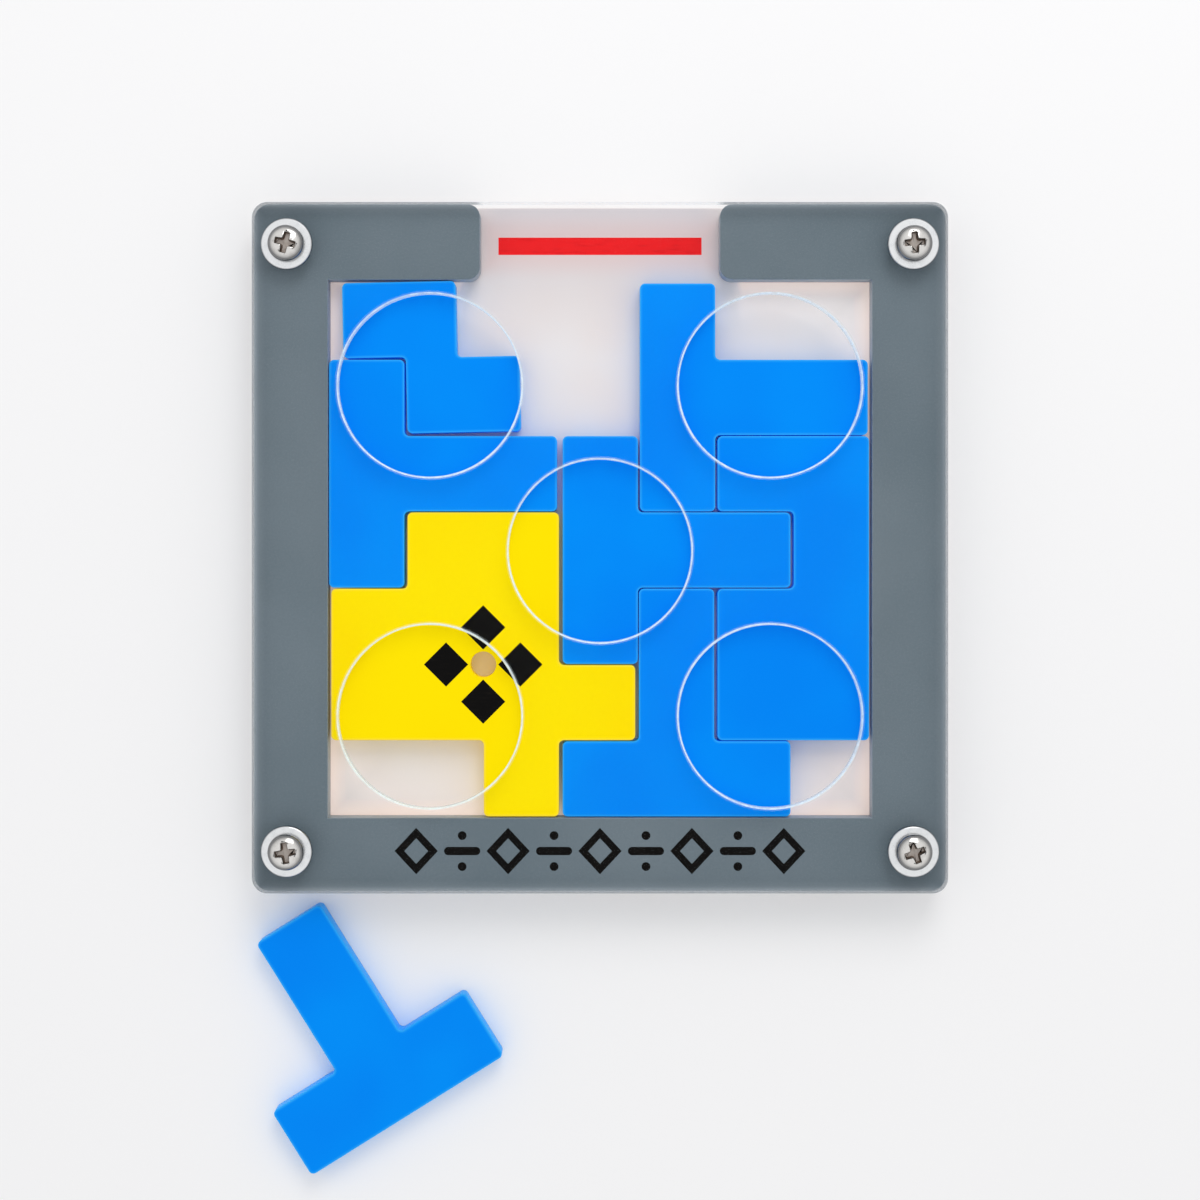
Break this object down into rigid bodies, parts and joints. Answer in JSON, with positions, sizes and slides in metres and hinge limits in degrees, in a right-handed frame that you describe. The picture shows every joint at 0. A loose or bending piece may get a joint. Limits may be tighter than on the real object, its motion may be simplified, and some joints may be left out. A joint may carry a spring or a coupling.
{
  "type": "packing puzzle",
  "caption": "Flat square tray puzzle of coloured acrylic: blue and yellow pieces slide and pack under a clear screwed cover with finger holes and an entry gap.",
  "frame": {"origin": "middle of the tray's flat back face", "axes": "+Z out of the clear cover, away from the back; +Y towards the entry gap; +X to the right seen from the front"},
  "size_m": [0.134, 0.1889, 0.0143],
  "materials": {
    "opal_acrylic": "opal white, smooth",
    "red_fill": "red paint in a shallow engraving",
    "grey_acrylic": "slate grey, smooth",
    "black_fill": "black paint in a shallow engraving",
    "clear_acrylic": "clear, polished",
    "screw_steel": "bright nickel plating",
    "zinc_washer": "bright zinc plating",
    "yellow_acrylic": "bright yellow, satin",
    "blue_acrylic": "bright blue, satin"
  },
  "bodies": {
    "tray": {"base_plate": "opal_acrylic", "red_line": "red_fill", "tray_frame": "grey_acrylic", "border_inlay": "black_fill", "cover_plate": "clear_acrylic", "cover_screws": "screw_steel", "screw_washers": "zinc_washer", "screw_nuts": "zinc_washer"},
    "yellow": {"yellow_piece": "yellow_acrylic", "yellow_inlay": "black_fill"},
    "upper_left": {"upper_left_piece": "blue_acrylic"},
    "left_t": {"left_t_piece": "blue_acrylic"},
    "centre_t": {"centre_t_piece": "blue_acrylic"},
    "right": {"right_piece": "blue_acrylic"},
    "upper_right_t": {"upper_right_t_piece": "blue_acrylic"},
    "bottom_t": {"bottom_t_piece": "blue_acrylic"},
    "loose_t": {"loose_t_piece": "blue_acrylic"}
  },
  "joints": [
    {"name": "centre_t_slide", "type": "slide", "parent": "tray", "child": "centre_t", "axis": [0, 1, 0], "range_m": [0, 0.0153]},
    {"name": "right_piece_slide", "type": "slide", "parent": "tray", "child": "right", "axis": [0, 1, 0], "range_m": [0, 0.0153]},
    {"name": "upper_right_t_slide", "type": "slide", "parent": "centre_t", "child": "upper_right_t", "axis": [0, -1, 0], "range_m": [-0.0153, 0]},
    {"name": "upper_left_slide", "type": "slide", "parent": "tray", "child": "upper_left", "axis": [-1, 0, 0], "range_m": [-0.0225, 0]},
    {"name": "left_t_slide", "type": "slide", "parent": "tray", "child": "left_t", "axis": [1, 0, 0], "range_m": [0, 0.0003]},
    {"name": "yellow_slide", "type": "slide", "parent": "tray", "child": "yellow", "axis": [1, 0, 0], "range_m": [-0.0003, 0]},
    {"name": "bottom_t_slide", "type": "slide", "parent": "tray", "child": "bottom_t", "axis": [1, 0, 0], "range_m": [0, 0.00025]},
    {"name": "loose_t_lift", "type": "slide", "parent": "tray", "child": "loose_t", "axis": [0, 0, 1], "range_m": [0, 0.06]}
  ],
  "couplings": [
    {"joint": "right_piece_slide", "follows": "centre_t_slide", "ratio": 1}
  ]
}
